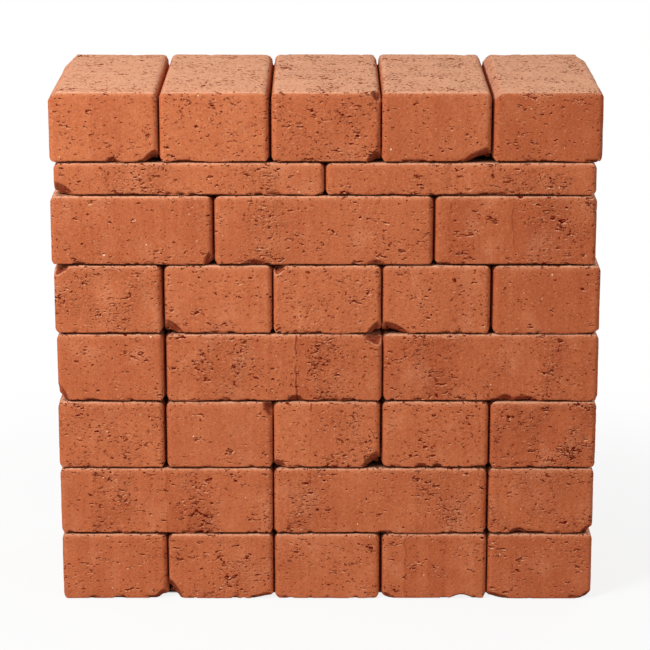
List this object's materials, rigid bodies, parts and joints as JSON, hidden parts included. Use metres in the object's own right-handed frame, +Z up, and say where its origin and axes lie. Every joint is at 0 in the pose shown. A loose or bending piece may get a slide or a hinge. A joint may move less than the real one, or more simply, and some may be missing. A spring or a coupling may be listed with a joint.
{
  "type": "brick stack",
  "caption": "Free-standing stack of solid terracotta bricks, dry-laid in alternating header and stretcher courses with a thin course near the top",
  "frame": {"origin": "middle of the base, on the ground plane", "axes": "+X right along the face of the stack, +Y from the front face to the back, +Z up"},
  "size_m": [0.5165, 0.2049, 0.5005],
  "materials": {
    "fired_clay": "matt unglazed fired clay, wire-cut, with fine pits, drag lines and pale specks"
  },
  "bodies": {
    "root": {"course_1_header_1": "fired_clay", "course_1_header_2": "fired_clay", "course_1_header_3": "fired_clay", "course_1_header_4": "fired_clay", "course_1_header_5": "fired_clay", "course_2_header_3": "fired_clay", "course_2_stretcher_1_back": "fired_clay", "course_2_stretcher_1_front": "fired_clay", "course_2_stretcher_2_back": "fired_clay", "course_2_stretcher_2_front": "fired_clay", "course_3_header_1": "fired_clay", "course_3_header_2": "fired_clay", "course_3_header_3": "fired_clay", "course_3_header_4": "fired_clay", "course_3_header_5": "fired_clay", "course_4_header_1": "fired_clay", "course_4_stretcher_2_back": "fired_clay", "course_4_stretcher_2_front": "fired_clay", "course_4_stretcher_3_back": "fired_clay", "course_4_stretcher_3_front": "fired_clay", "course_5_header_1": "fired_clay", "course_5_header_2": "fired_clay", "course_5_header_3": "fired_clay", "course_5_header_4": "fired_clay", "course_5_header_5": "fired_clay", "course_6_bat_1_back": "fired_clay", "course_6_bat_1_front": "fired_clay", "course_6_bat_3_back": "fired_clay", "course_6_bat_3_front": "fired_clay", "course_6_stretcher_2_back": "fired_clay", "course_6_stretcher_2_front": "fired_clay", "course_7_thin_1_back": "fired_clay", "course_7_thin_1_front": "fired_clay", "course_7_thin_2_back": "fired_clay", "course_7_thin_2_front": "fired_clay", "course_8_header_1": "fired_clay", "course_8_header_2": "fired_clay", "course_8_header_3": "fired_clay", "course_8_header_4": "fired_clay", "course_8_header_5": "fired_clay"}
  },
  "joints": []
}
